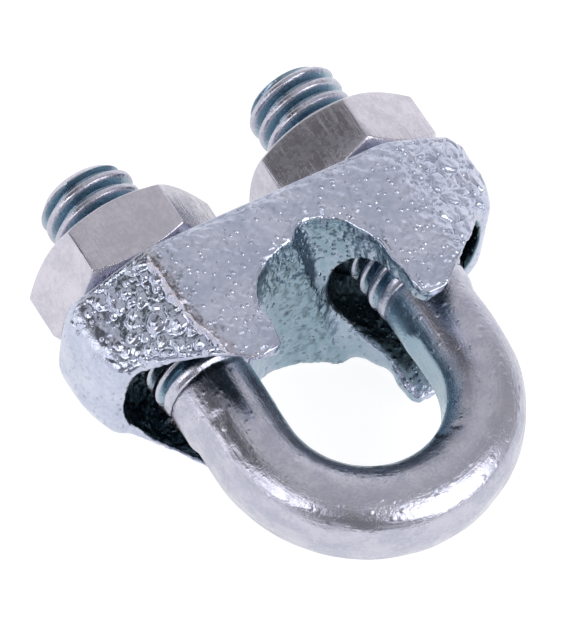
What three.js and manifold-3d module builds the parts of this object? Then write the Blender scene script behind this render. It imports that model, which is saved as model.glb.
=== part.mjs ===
// Wire rope clip for 3 mm rope: a threaded U-bolt, a cast saddle and two hexagon nuts.
// Millimetres. The clip lies on its back: X runs across the two legs, Y along the legs towards
// their free ends, and Z along the rope, upwards. The origin is the middle of the overall box at
// the saddle's lower face.

import * as THREE from "three";
import { mergeVertices } from "three/addons/utils/BufferGeometryUtils.js";
import Module from "manifold-3d";

const wasm = await Module();
wasm.setup();

// U-bolt
const LEG_SPACING = 9.7;
const ROD_DIAMETER = 3.65;
const LEG_LENGTH = { left: 13.5, right: 13.85 }; // bend centre to the free end
const THREAD_START = 3.6; // above the bend centre
const THREAD_DIAMETER = 4.0;
const THREAD_PITCH = 0.7;
const THREAD_CHAMFER = 0.4;
const BEND_STEPS = 24;

// Saddle
const SEAT_HEIGHT = 8.0; // bend centre to the face that the nuts sit on, as assembled
const SADDLE_HEIGHT = 7.25; // lobe tips to nut seat
const SADDLE_DEPTH = 9.0; // along the rope
const END_REACH = 4.4; // leg axis to the saddle's end
const BEVEL_START = 0.3; // leg axis to the start of the corner bevel, along X
const BEVEL_SLOPE = THREE.MathUtils.degToRad(29.5); // from the face
const END_CORNER_RADIUS = 1.0; // between the bevels and the ends
const END_TUCK = { across: 0.7, up: 2.8 }; // lower edge of the ends, rounded in
const TOP_CORNER_RADIUS = 0.6;
// The rope seat is an arch that is wider and lower at the lower face than at the upper one.
const ROPE_SEAT = {
  upper: { halfWidth: 2.72, crownThickness: 2.15 },
  lower: { halfWidth: 3.4, crownThickness: 3.2 },
};
const LOBE_RADIUS = 1.0;
const SKIRT_SLOPE = THREE.MathUtils.degToRad(42); // underside of the skirts, rising to the ends
const END_WALL_HEIGHT = 3.9;
const PLATE_THICKNESS = 2.0;
const SKIRT_WALL = 0.6; // at the lobe tips
const POCKET_DRAFT = 0.85; // how much narrower each pocket is at its roof
const POCKET_FILLET = 0.4;

// Nuts
const NUT_ACROSS_FLATS = 7.0;
const NUT_HEIGHT = 2.8;
const NUT_CHAMFER_ANGLE = THREE.MathUtils.degToRad(30);
const NUT_FACE_LAND = 0.2; // flats to the chamfer's circle on the face
const NUT_TURN = { left: THREE.MathUtils.degToRad(81.5), right: THREE.MathUtils.degToRad(61.7) };

// Clearances
const BORE_CLEARANCE = 0.25; // thread to the hole in the saddle, on the radius
const THREAD_CLEARANCE = 0.08; // male to female thread, on the radius
const SEAT_GAP = 0.03; // nut to saddle
const OVERRUN = 1.0; // how far cutters run past a face
const SPARE_TURNS = 2; // how far a thread cutter runs past each face
const WELD_DISTANCE = 1e-5;

// ISO metric thread, as shares of the pitch
const THREAD_DEPTH_RATIO = 0.6134;
const CREST_RATIO = 1 / 8;
const ROOT_RATIO = 1 / 4;
const FLANK_ANGLE = THREE.MathUtils.degToRad(30);

const THREAD_SIDES = 16;
const ROD_SIDES = 20;
const ROUND_SIDES = 32;
const ARC_DIVISIONS = 10;

const legX = LEG_SPACING / 2;
const halfDepth = SADDLE_DEPTH / 2;
const threadRadius = THREAD_DIAMETER / 2;
const rodRadius = ROD_DIAMETER / 2;
const threadDepth = THREAD_DEPTH_RATIO * THREAD_PITCH;
const bendBottom = -(legX + rodRadius);
const boreRadius = threadRadius + BORE_CLEARANCE;
const lobeTip = SEAT_HEIGHT - SADDLE_HEIGHT;

const ZINC_STEEL = { color: 0xb9bcc9, roughness: 0.32, metalness: 0.9 };
const ZINC_CASTING = { color: 0xa9adbd, roughness: 0.45, metalness: 0.85 };
const ZINC_NUT = { color: 0xc4c2c9, roughness: 0.35, metalness: 0.9 };

// A closed geometry as a solid that can be joined and cut.
function solid(geometry) {
  const bare = geometry.clone();
  bare.deleteAttribute("normal");
  bare.deleteAttribute("uv");
  const merged = mergeVertices(bare, WELD_DISTANCE);
  return new wasm.Manifold(
    new wasm.Mesh({
      numProp: 3,
      vertProperties: new Float32Array(merged.attributes.position.array),
      triVerts: new Uint32Array(merged.index.array),
    }),
  );
}

// A named mesh from a solid.
function piece(name, body, finish) {
  const mesh = body.getMesh();
  const geometry = new THREE.BufferGeometry();
  geometry.setAttribute("position", new THREE.BufferAttribute(mesh.vertProperties, 3));
  geometry.setIndex(new THREE.BufferAttribute(mesh.triVerts, 1));
  geometry.computeVertexNormals();
  const named = new THREE.Mesh(geometry, new THREE.MeshStandardMaterial(finish));
  named.name = name;
  return named;
}

// A solid turned about the Y axis from a profile of [radius, y] that starts and ends on the axis.
function turned(profile, x, sides = ROUND_SIDES) {
  const points = profile.map(([radius, y]) => new THREE.Vector2(radius, y));
  return solid(new THREE.LatheGeometry(points, sides).translate(x, 0, 0));
}

// A screw-shaped bar along Y, right-handed, with a trapezoid thread. Its first crest starts at
// theta 0 and y = start, and it is closed by a fan at each end.
function screwBar(crestRadius, rootRadius, crestWidth, rootWidth, start, turns) {
  const flank = (THREAD_PITCH - crestWidth - rootWidth) / 2;
  const profile = [
    [crestRadius, -crestWidth / 2],
    [crestRadius, crestWidth / 2],
    [rootRadius, crestWidth / 2 + flank],
    [rootRadius, crestWidth / 2 + flank + rootWidth],
  ];
  const steps = profile.length;
  const rows = turns * THREAD_SIDES;
  const vertices = [];
  for (let row = 0; row <= rows; row += 1) {
    const theta = (row / THREAD_SIDES) * 2 * Math.PI;
    const rise = start + (row / THREAD_SIDES) * THREAD_PITCH;
    for (const [radius, offset] of profile) {
      vertices.push(radius * Math.sin(theta), rise + offset, radius * Math.cos(theta));
    }
  }
  // The last profile point of one turn joins the first of the next, one turn further on.
  const at = (row, step) => (step < steps ? row * steps + step : (row + THREAD_SIDES) * steps);
  const triangles = [];
  for (let row = 0; row < rows; row += 1) {
    const strips = row < rows - THREAD_SIDES ? steps : steps - 1;
    for (let step = 0; step < strips; step += 1) {
      const corners = [at(row, step), at(row + 1, step), at(row + 1, step + 1), at(row, step + 1)];
      triangles.push(corners[0], corners[1], corners[2], corners[0], corners[2], corners[3]);
    }
  }
  const lowCentre = vertices.length / 3;
  vertices.push(0, start + THREAD_PITCH / 2, 0);
  const highCentre = lowCentre + 1;
  vertices.push(0, start + (turns - 0.5) * THREAD_PITCH, 0);
  const lowRim = [];
  for (let step = steps; step > 0; step -= 1) lowRim.push(at(0, step));
  for (let row = 0; row <= THREAD_SIDES; row += 1) lowRim.push(at(row, 0));
  const highRim = [];
  for (let row = rows - THREAD_SIDES; row <= rows; row += 1) highRim.push(at(row, steps - 1));
  for (let step = steps - 2; step >= 0; step -= 1) highRim.push(at(rows, step));
  highRim.push(at(rows - THREAD_SIDES, steps - 1));
  for (let i = 0; i + 1 < lowRim.length; i += 1) {
    triangles.push(lowCentre, lowRim[i + 1], lowRim[i]);
  }
  for (let i = 0; i + 1 < highRim.length; i += 1) {
    triangles.push(highCentre, highRim[i], highRim[i + 1]);
  }
  const geometry = new THREE.BufferGeometry();
  geometry.setAttribute("position", new THREE.Float32BufferAttribute(vertices, 3));
  geometry.setIndex(triangles);
  return geometry;
}

// The thread of a leg, widened on every side by a clearance, long enough to run past low and high.
function threadBar(x, low, high, clearance) {
  const widening = 2 * clearance * (1 / Math.cos(FLANK_ANGLE) - Math.tan(FLANK_ANGLE));
  const phase = THREAD_START % THREAD_PITCH;
  const firstTurn = Math.floor((low - phase) / THREAD_PITCH) - SPARE_TURNS;
  const turns = Math.ceil((high - low) / THREAD_PITCH) + 2 * SPARE_TURNS + 1;
  const bar = screwBar(
    threadRadius + clearance,
    threadRadius - threadDepth + clearance,
    CREST_RATIO * THREAD_PITCH + widening,
    ROOT_RATIO * THREAD_PITCH - widening,
    phase + firstTurn * THREAD_PITCH,
    turns,
  );
  return solid(bar.translate(x, 0, 0));
}

// The rod's centre line: two short legs and the half-round bend between them.
class BendLine extends THREE.Curve {
  constructor(shank) {
    super();
    this.shank = shank;
    this.bend = Math.PI * legX;
    this.length = this.bend + 2 * shank;
  }

  getPoint(t) {
    const along = t * this.length;
    if (along < this.shank) return new THREE.Vector3(-legX, this.shank - along, 0);
    const past = along - this.shank - this.bend;
    if (past > 0) return new THREE.Vector3(legX, past, 0);
    const angle = Math.PI + (along - this.shank) / legX;
    return new THREE.Vector3(legX * Math.cos(angle), legX * Math.sin(angle), 0);
  }
}

function uBolt() {
  const section = new THREE.Shape().absarc(0, 0, rodRadius, 0, 2 * Math.PI, false);
  const shank = THREAD_START + THREAD_PITCH / 2;
  const rod = new THREE.ExtrudeGeometry(section, {
    steps: BEND_STEPS,
    curveSegments: ROD_SIDES,
    bevelEnabled: false,
    extrudePath: new BendLine(shank),
  });
  let body = solid(rod);
  const coreRadius = threadRadius - threadDepth;
  const wideRadius = threadRadius + THREAD_CHAMFER;
  for (const [x, end] of [
    [-legX, LEG_LENGTH.left],
    [legX, LEG_LENGTH.right],
  ]) {
    const envelope = [
      [0, THREAD_START - THREAD_PITCH],
      [coreRadius, THREAD_START - THREAD_PITCH],
      [wideRadius, THREAD_START + THREAD_CHAMFER],
      [wideRadius, end - 2 * THREAD_CHAMFER],
      [threadRadius - THREAD_CHAMFER, end],
      [0, end],
    ];
    const thread = threadBar(x, THREAD_START, end, 0);
    body = body.add(thread.intersect(turned(envelope, x)));
  }
  return piece("u_bolt", body, ZINC_STEEL);
}

// The saddle seen along its legs: flat faces, bevelled corners and round ends.
function planOutline() {
  const faceX = legX + BEVEL_START;
  const endX = legX + END_REACH;
  const noseZ = halfDepth - (endX - faceX) * Math.tan(BEVEL_SLOPE);
  const cornerRadius = Math.min(END_CORNER_RADIUS, noseZ / 2);
  const bevelX = endX - cornerRadius;
  const bevelZ = noseZ + cornerRadius * Math.tan(BEVEL_SLOPE);
  const endZ = noseZ - cornerRadius;
  const outline = new THREE.Shape();
  outline.moveTo(-faceX, -halfDepth).lineTo(faceX, -halfDepth).lineTo(bevelX, -bevelZ);
  outline.quadraticCurveTo(endX, -noseZ, endX, -endZ).lineTo(endX, endZ);
  outline.quadraticCurveTo(endX, noseZ, bevelX, bevelZ);
  outline.lineTo(faceX, halfDepth).lineTo(-faceX, halfDepth).lineTo(-bevelX, bevelZ);
  outline.quadraticCurveTo(-endX, noseZ, -endX, endZ).lineTo(-endX, -endZ);
  outline.quadraticCurveTo(-endX, -noseZ, -bevelX, -bevelZ);
  return outline;
}

// The saddle seen along the rope, before the rope seat is cut between its two lobes. The lobes
// stand further apart at the lower face, as the sides of the rope seat do.
function faceBlock() {
  const endX = legX + END_REACH;
  const endY = SEAT_HEIGHT - END_WALL_HEIGHT;
  const tuckX = endX - END_TUCK.across;
  const tuckY = endY + END_TUCK.up;
  const lobeX = ROPE_SEAT.upper.halfWidth + LOBE_RADIUS;
  const lobeY = lobeTip + LOBE_RADIUS;
  const lobeEnd = SKIRT_SLOPE - Math.PI / 2;
  const slopeX = lobeX + LOBE_RADIUS * Math.cos(lobeEnd);
  const slopeY = lobeY + LOBE_RADIUS * Math.sin(lobeEnd);
  const skirtX = slopeX + (endY - slopeY) / Math.tan(SKIRT_SLOPE);
  const topX = endX - TOP_CORNER_RADIUS;
  const topY = SEAT_HEIGHT - TOP_CORNER_RADIUS;
  const outline = new THREE.Shape();
  outline.moveTo(skirtX, endY).lineTo(tuckX, endY);
  outline.quadraticCurveTo(endX, endY, endX, tuckY).lineTo(endX, topY);
  outline.absarc(topX, topY, TOP_CORNER_RADIUS, 0, Math.PI / 2, false);
  outline.absarc(-topX, topY, TOP_CORNER_RADIUS, Math.PI / 2, Math.PI, false);
  outline.lineTo(-endX, tuckY).quadraticCurveTo(-endX, endY, -tuckX, endY).lineTo(-skirtX, endY);
  outline.absarc(-lobeX, lobeY, LOBE_RADIUS, -Math.PI - lobeEnd, 0, false);
  outline.absarc(lobeX, lobeY, LOBE_RADIUS, Math.PI, 2 * Math.PI + lobeEnd, false);
  const settings = { bevelEnabled: false, curveSegments: ARC_DIVISIONS };
  const geometry = new THREE.ExtrudeGeometry(outline, { ...settings, depth: SADDLE_DEPTH });
  const spread = ROPE_SEAT.lower.halfWidth - ROPE_SEAT.upper.halfWidth;
  const position = geometry.attributes.position;
  for (let i = 0; i < position.count; i += 1) {
    const x = position.getX(i);
    const inLobe = (skirtX - Math.abs(x)) / (skirtX - slopeX);
    const low = 1 - position.getZ(i) / SADDLE_DEPTH;
    const shift = position.getY(i) < endY ? spread * low * THREE.MathUtils.clamp(inLobe, 0, 1) : 0;
    position.setX(i, x + Math.sign(x) * shift);
  }
  return solid(geometry.translate(0, 0, -halfDepth));
}

// The arch that the rope lies in, open below, running past both faces. It is drawn with a half
// width of 1, and each of its points is then scaled and raised to suit its height.
function ropeSeat() {
  const { upper, lower } = ROPE_SEAT;
  const sides = SADDLE_HEIGHT / upper.halfWidth;
  const arch = new THREE.Shape().moveTo(-1, -sides).lineTo(1, -sides);
  arch.absarc(0, 0, 1, 0, Math.PI, false);
  const settings = { bevelEnabled: false, curveSegments: ROD_SIDES };
  const depth = SADDLE_DEPTH + 2 * OVERRUN;
  const geometry = new THREE.ExtrudeGeometry(arch, { ...settings, depth });
  const position = geometry.attributes.position;
  for (let i = 0; i < position.count; i += 1) {
    const z = position.getZ(i) - depth / 2;
    const share = (z + halfDepth) / SADDLE_DEPTH;
    const halfWidth = THREE.MathUtils.lerp(lower.halfWidth, upper.halfWidth, share);
    const crown = THREE.MathUtils.lerp(lower.crownThickness, upper.crownThickness, share);
    const centre = SEAT_HEIGHT - crown - halfWidth;
    position.setXYZ(i, halfWidth * position.getX(i), centre + halfWidth * position.getY(i), z);
  }
  return solid(geometry);
}

// The hollow around one leg, with its roof under the plate and the leg's hole through the plate.
function legHollow(x) {
  const roof = SEAT_HEIGHT - PLATE_THICKNESS;
  const mouth = lobeTip - OVERRUN;
  const mouthRadius = halfDepth - SKIRT_WALL;
  const roofRadius = mouthRadius - POCKET_DRAFT;
  const fillet = Math.min(POCKET_FILLET, roofRadius - boreRadius);
  return turned(
    [
      [0, mouth],
      [mouthRadius, mouth],
      [mouthRadius, lobeTip],
      [roofRadius, roof - fillet],
      [roofRadius - fillet, roof],
      [boreRadius, roof],
      [boreRadius, SEAT_HEIGHT + OVERRUN],
      [0, SEAT_HEIGHT + OVERRUN],
    ],
    x,
  );
}

function saddle() {
  const settings = { bevelEnabled: false, curveSegments: ARC_DIVISIONS };
  const plan = new THREE.ExtrudeGeometry(planOutline(), { ...settings, depth: SADDLE_HEIGHT });
  plan.rotateX(-Math.PI / 2).translate(0, lobeTip, 0);
  let body = solid(plan).intersect(faceBlock());
  body = body.subtract(ropeSeat());
  for (const x of [-legX, legX]) body = body.subtract(legHollow(x));
  return piece("saddle", body, ZINC_CASTING);
}

function nut(name, x, turn) {
  const cornerRadius = NUT_ACROSS_FLATS / 2 / Math.cos(Math.PI / 6);
  const faceRadius = NUT_ACROSS_FLATS / 2 - NUT_FACE_LAND;
  const rimRadius = cornerRadius + OVERRUN;
  const low = SEAT_HEIGHT + SEAT_GAP;
  const high = low + NUT_HEIGHT;
  const slope = (rimRadius - faceRadius) * Math.tan(NUT_CHAMFER_ANGLE);
  const hexagon = new THREE.CylinderGeometry(cornerRadius, cornerRadius, NUT_HEIGHT, 6);
  hexagon.rotateY(turn).translate(x, (low + high) / 2, 0);
  const chamfers = [
    [0, low],
    [faceRadius, low],
    [rimRadius, low + slope],
    [rimRadius, high - slope],
    [faceRadius, high],
    [0, high],
  ];
  const body = solid(hexagon).intersect(turned(chamfers, x));
  return piece(name, body.subtract(threadBar(x, low, high, THREAD_CLEARANCE)), ZINC_NUT);
}

const clip = new THREE.Group();
clip.add(uBolt());
clip.add(saddle());
clip.add(nut("nut_left", -legX, NUT_TURN.left));
clip.add(nut("nut_right", legX, NUT_TURN.right));
const legEnd = Math.max(LEG_LENGTH.left, LEG_LENGTH.right);
clip.position.set(0, -(legEnd + bendBottom) / 2, halfDepth);

export default clip;
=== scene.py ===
"""A wire rope clip for 3 mm rope: a threaded U-bolt, a cast saddle and two hexagon nuts.

Lengths are in millimetres until a piece is finished. A piece is drawn about the centre of the
U-bolt's bend, with X across the two legs, Y along them towards their free ends and Z along the
rope. It is then set down in the frame, in metres.
"""

import logging
import math
from collections.abc import Callable, Sequence
from dataclasses import dataclass, field
from enum import Enum

import bmesh
import bpy
from bmesh.types import BMEdge, BMesh, BMVert
from mathutils import Matrix, Vector, noise


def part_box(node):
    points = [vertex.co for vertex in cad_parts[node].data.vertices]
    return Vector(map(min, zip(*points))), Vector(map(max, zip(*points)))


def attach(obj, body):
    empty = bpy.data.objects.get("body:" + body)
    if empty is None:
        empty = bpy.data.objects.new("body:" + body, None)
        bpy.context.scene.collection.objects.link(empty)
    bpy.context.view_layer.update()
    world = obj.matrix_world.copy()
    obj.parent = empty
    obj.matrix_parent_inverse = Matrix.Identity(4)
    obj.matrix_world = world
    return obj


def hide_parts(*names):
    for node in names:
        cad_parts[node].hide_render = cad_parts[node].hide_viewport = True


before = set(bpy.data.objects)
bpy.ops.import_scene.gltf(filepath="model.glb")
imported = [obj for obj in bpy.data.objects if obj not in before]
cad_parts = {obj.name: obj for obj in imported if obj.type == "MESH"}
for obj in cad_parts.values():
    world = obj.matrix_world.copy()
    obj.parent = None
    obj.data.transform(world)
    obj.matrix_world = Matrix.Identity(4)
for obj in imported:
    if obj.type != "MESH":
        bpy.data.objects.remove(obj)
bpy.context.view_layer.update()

log = logging.getLogger("rope_clip")

MM = 0.001
WELD = 1e-4
NOISE_SEED = 11
ORIGIN = (0, 0, 0)
LEG_X = 4.85

Colour = tuple[float, float, float, float]
Value = float | int | str | Colour | tuple[float, float, float] | bpy.types.NodeSocket


class Side(Enum):
    """Which leg of the U-bolt a thing belongs to, with the sign of its X."""

    LEFT = -1
    RIGHT = 1


class Cut(Enum):
    """How a tool changes the solid that it meets."""

    REMOVE = "DIFFERENCE"
    KEEP_SHARED = "INTERSECT"


class Pattern(Enum):
    """The coordinates that a finish is laid out on."""

    OBJECT = "object"
    ALONG_ROD = "along_rod"


def clamped(value: float) -> float:
    """A value kept between 0 and 1."""
    return min(max(value, 0.0), 1.0)


def smooth_step(value: float, low: float, high: float) -> float:
    """Rises smoothly from 0 at low to 1 at high, or falls if high is below low."""
    share = clamped((value - low) / (high - low))
    return share * share * (3 - 2 * share)


def mixed(low: float, high: float, share: float) -> float:
    """The value that lies the given share of the way from low to high."""
    return low + (high - low) * share


def lifted(value: float) -> float:
    """A noise value from about -1 to 1, moved to between 0 and 1."""
    return 0.5 + 0.5 * value


def soft_minimum(first: float, second: float, blend: float) -> float:
    """The smaller of two values, with the corner between them rounded over blend."""
    share = clamped(0.5 + 0.5 * (second - first) / blend)
    return mixed(second, first, share) - blend * share * (1 - share)


@dataclass(frozen=True)
class Fade:
    """A share that changes smoothly from 0 at one measure to 1 at another."""

    none: float
    full: float

    def at(self, value: float) -> float:
        """The share at a measure."""
        return smooth_step(value, self.none, self.full)


@dataclass(frozen=True)
class Cloud:
    """Cloudy noise of a few octaves, each finer than the last by the ratio."""

    rate: float
    fall_off: float
    octaves: int
    ratio: float = 2.0

    def at(self, point: Vector) -> float:
        """The noise at a point, from about -1 to 1."""
        return noise.fractal(point * self.rate, self.fall_off, self.ratio, self.octaves)


def verts_of(made: dict[str, list]) -> list[BMVert]:
    """The vertices among what an operator made."""
    return [item for item in made["geom"] if isinstance(item, BMVert)]


def edges_of(made: dict[str, list]) -> list[BMEdge]:
    """The edges among what an operator made."""
    return [item for item in made["geom"] if isinstance(item, BMEdge)]


def open_edges(bm: BMesh) -> list[BMEdge]:
    """The edges that have a face on one side only."""
    return [edge for edge in bm.edges if edge.is_boundary]


def close_up(bm: BMesh) -> None:
    """Merges doubled vertices and turns every face outwards."""
    bmesh.ops.remove_doubles(bm, verts=bm.verts, dist=WELD)
    bmesh.ops.recalc_face_normals(bm, faces=bm.faces)


def turn_verts(bm: BMesh, verts: Sequence[BMVert], angle: float, axis: str) -> None:
    """Turns vertices about an axis through the origin, by an angle in radians."""
    bmesh.ops.rotate(bm, cent=ORIGIN, matrix=Matrix.Rotation(angle, 3, axis), verts=verts)


def round_off(bm: BMesh, edges: list[BMEdge], reach: float, segments: int) -> None:
    """Rounds edges, starting reach away from them."""
    bmesh.ops.bevel(
        bm, geom=edges, offset=reach, segments=segments, profile=0.5, affect="EDGES", material=-1
    )


def put_in_scene(name: str, data: bpy.types.ID) -> bpy.types.Object:
    """Makes an object of some data and links it to the scene."""
    thing = bpy.data.objects.new(name, data)
    bpy.context.scene.collection.objects.link(thing)
    return thing


def mesh_from(bm: BMesh, name: str) -> bpy.types.Mesh:
    """Turns a bmesh into a mesh and frees it.

    Args:
        bm: The bmesh, which can't be used afterwards.
        name: The new mesh's name.

    Returns:
        The mesh.
    """
    mesh = bpy.data.meshes.new(name)
    bm.to_mesh(mesh)
    bm.free()
    return mesh


def worked(mesh: bpy.types.Mesh, add_modifiers: Callable[[bpy.types.Object], None]) -> bpy.types.Mesh:
    """Runs modifiers on a mesh and applies them.

    Args:
        mesh: The mesh to work on.
        add_modifiers: Adds the modifiers to the object that it is given.

    Returns:
        A new mesh with the modifiers applied.
    """
    blank = put_in_scene("blank", mesh)
    add_modifiers(blank)
    bpy.context.view_layer.update()
    graph = bpy.context.evaluated_depsgraph_get()
    result = bpy.data.meshes.new_from_object(blank.evaluated_get(graph))
    bpy.data.objects.remove(blank)
    return result


def carved(mesh: bpy.types.Mesh, tool: BMesh, cut: Cut) -> bpy.types.Mesh:
    """Cuts a closed mesh with a closed tool.

    Args:
        mesh: The solid.
        tool: The tool, which is used up.
        cut: What the tool does.

    Returns:
        The solid that is left.
    """
    cutter = put_in_scene("cutter", mesh_from(tool, "cutter"))

    def add_modifiers(blank: bpy.types.Object) -> None:
        """Adds the Boolean modifier."""
        modifier = blank.modifiers.new("carve", "BOOLEAN")
        modifier.operation = cut.value
        modifier.solver = "EXACT"
        modifier.object = cutter

    result = worked(mesh, add_modifiers)
    bpy.data.objects.remove(cutter)
    return result


def prism(outline: Sequence[tuple[float, float]], depth: float) -> BMesh:
    """An outline in the XY plane as a solid of the given depth, centred on that plane."""
    bm = bmesh.new()
    face = bm.faces.new([bm.verts.new((x, y, -depth / 2)) for x, y in outline])
    made = bmesh.ops.extrude_face_region(bm, geom=[face])
    bmesh.ops.translate(bm, vec=(0, 0, depth), verts=verts_of(made))
    bmesh.ops.recalc_face_normals(bm, faces=bm.faces)
    return bm


def round_corner(bm: BMesh, x: float, y: float, reach: float, segments: int) -> None:
    """Rounds those corners of a prism that stand at |x| and y, starting reach away from them."""
    upright = [
        edge
        for edge in bm.edges
        if all(abs(abs(v.co.x) - x) < WELD and abs(v.co.y - y) < WELD for v in edge.verts)
    ]
    round_off(bm, upright, reach, segments)


def turned(profile: Sequence[tuple[float, float]], x: float, steps: int) -> BMesh:
    """A solid turned about a line along Y.

    Args:
        profile: Points of (radius, y) that start and end on the line.
        x: Where the line is.
        steps: Faces round the solid.

    Returns:
        The solid.
    """
    bm = bmesh.new()
    points = [bm.verts.new((radius, y, 0)) for radius, y in profile]
    chain = [bm.edges.new(pair) for pair in zip(points, points[1:])]
    bmesh.ops.spin(
        bm, geom=points + chain, cent=ORIGIN, axis=(0, 1, 0), angle=2 * math.pi, steps=steps,
        use_merge=True,
    )
    close_up(bm)
    bmesh.ops.translate(bm, vec=(x, 0, 0), verts=bm.verts)
    return bm


@dataclass(frozen=True)
class Thread:
    """A metric coarse thread, M4 unless it is told otherwise, with the bolt's measures."""

    radius: float = 2.0
    pitch: float = 0.7
    depth: float = 0.4
    crest_share: float = 0.26
    root_share: float = 0.12
    profile_steps: int = 12
    steps_per_turn: int = 64
    first_crest: float = 0.1
    clearance: float = 0.08

    def height_at(self, share: float) -> float:
        """How far the thread stands above its root, from 0 to 1, at a share of the pitch."""
        from_crest = abs(share - round(share))
        return smooth_step(from_crest, (1 - self.root_share) / 2, self.crest_share / 2)

    def screw(self, low: float, high: float, gap: float) -> BMesh:
        """An open screw surface about the Y axis, cut level at both ends.

        Args:
            low: Where it starts.
            high: Where it ends.
            gap: How much wider than the bolt's own thread it is, on the radius.

        Returns:
            The surface, with a float layer of painted shade that is 1 at the roots.
        """
        bm = bmesh.new()
        recess = bm.verts.layers.float.new("recess")
        turns = math.ceil((high - low) / self.pitch) + 2
        turns_to_low = math.floor((low - self.first_crest) / self.pitch)
        start = self.first_crest + (turns_to_low - 1) * self.pitch
        points = []
        for step in range(self.profile_steps + 1):
            share = step / self.profile_steps
            raised = self.height_at(share)
            radius = self.radius - self.depth * (1 - raised) + gap
            points.append(bm.verts.new((0, start + share * self.pitch, radius)))
            # Painted shade: the roots are coloured as shaded, fading to none on the crests.
            points[-1][recess] = 1 - raised
        chain = [bm.edges.new(pair) for pair in zip(points, points[1:])]
        bmesh.ops.spin(
            bm, geom=points + chain, cent=ORIGIN, axis=(0, 1, 0), angle=2 * math.pi * turns,
            dvec=(0, self.pitch / self.steps_per_turn, 0), steps=turns * self.steps_per_turn,
            use_merge=False,
        )
        bmesh.ops.remove_doubles(bm, verts=bm.verts, dist=WELD)
        for height, normal in ((low, (0, -1, 0)), (high, (0, 1, 0))):
            bmesh.ops.bisect_plane(
                bm, geom=bm.verts[:] + bm.edges[:] + bm.faces[:], plane_co=(0, height, 0),
                plane_no=normal, clear_outer=True,
            )
        return bm


def set_radius(vert: BMVert, radius: float) -> None:
    """Moves a vertex straight away from the Y axis, or towards it, to a new radius."""
    now = math.hypot(vert.co.x, vert.co.z)
    vert.co.x *= radius / now
    vert.co.z *= radius / now


def join(bm: BMesh, other: BMesh) -> None:
    """Adds another bmesh's geometry to this one and frees the other."""
    mesh = mesh_from(other, "joined")
    bm.from_mesh(mesh)
    bpy.data.meshes.remove(mesh)


@dataclass
class Placed:
    """What a finished piece is called, and what it belongs to."""

    name: str
    body: str
    node: str
    slot: str

    def put_down(
        self, mesh: bpy.types.Mesh, centre: Vector, material: bpy.types.Material, crease: float
    ) -> bpy.types.Object:
        """Sets a mesh down in the frame as a finished piece.

        Args:
            mesh: The mesh, in millimetres about the bend's centre.
            centre: Where the bend's centre is in the frame, in metres.
            material: The piece's finish.
            crease: The angle between faces, in degrees, above which an edge stays sharp.

        Returns:
            The piece.
        """
        mesh.transform(Matrix.Translation(centre) @ Matrix.Scale(MM, 4))
        mesh.name = self.name
        mesh.materials.clear()
        mesh.materials.append(material)
        mesh.shade_smooth()
        mesh.set_sharp_from_angle(angle=math.radians(crease))
        piece = put_in_scene(self.name, mesh)
        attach(piece, self.body)
        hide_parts(self.node)
        log.info("%s: %d faces, on body %s", self.name, len(mesh.polygons), self.body)
        return piece


class Graph:
    """A node tree that is being wired up."""

    def __init__(self, tree: bpy.types.NodeTree) -> None:
        """Starts on a tree, with its old nodes cleared."""
        self.tree = tree
        tree.nodes.clear()

    def set_input(self, node: bpy.types.Node, name: str | int, value: Value) -> None:
        """Links a socket to an input, or sets the input's own value."""
        if isinstance(value, bpy.types.NodeSocket):
            self.tree.links.new(value, node.inputs[name])
        else:
            node.inputs[name].default_value = value

    def add(
        self, kind: str, inputs: dict[str | int, Value] | None = None, **settings: object
    ) -> bpy.types.Node:
        """Adds a node.

        Args:
            kind: The node's type name.
            inputs: Values or sockets for its inputs, by name or number.
            **settings: Values for its properties.

        Returns:
            The node.
        """
        node = self.tree.nodes.new(kind)
        for key, value in settings.items():
            setattr(node, key, value)
        for name, value in (inputs or {}).items():
            self.set_input(node, name, value)
        return node

    def math(self, operation: str, *values: Value) -> bpy.types.NodeSocket:
        """A sum or other plain operation on numbers, as the socket that gives its result."""
        node = self.add("ShaderNodeMath", dict(enumerate(values)), operation=operation)
        return node.outputs[0]

    def range(
        self, value: Value, low: float, high: float, to_low: float = 0.0, to_high: float = 1.0
    ) -> bpy.types.NodeSocket:
        """A value stretched smoothly from one range to another and kept inside it."""
        inputs = {"Value": value, "From Min": low, "From Max": high, "To Min": to_low, "To Max": to_high}
        node = self.add("ShaderNodeMapRange", inputs, interpolation_type="SMOOTHSTEP")
        return node.outputs["Result"]

    def noise(
        self, vector: Value, scale: Value, detail: float = 2.0, roughness: float = 0.5
    ) -> bpy.types.NodeSocket:
        """Cloudy noise from about 0 to 1."""
        inputs = {"Vector": vector, "Scale": scale, "Detail": detail, "Roughness": roughness}
        return self.add("ShaderNodeTexNoise", inputs).outputs["Fac"]

    def attribute(self, name: str, output: str = "Fac") -> bpy.types.NodeSocket:
        """A layer of the mesh, by its name."""
        return self.add("ShaderNodeAttribute", attribute_name=name).outputs[output]

    def blend(self, share: Value, first: Value, second: Value) -> bpy.types.NodeSocket:
        """One colour laid over another by a share."""
        node = self.add("ShaderNodeMix", {0: share, 6: first, 7: second}, data_type="RGBA")
        return node.outputs[2]


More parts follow.
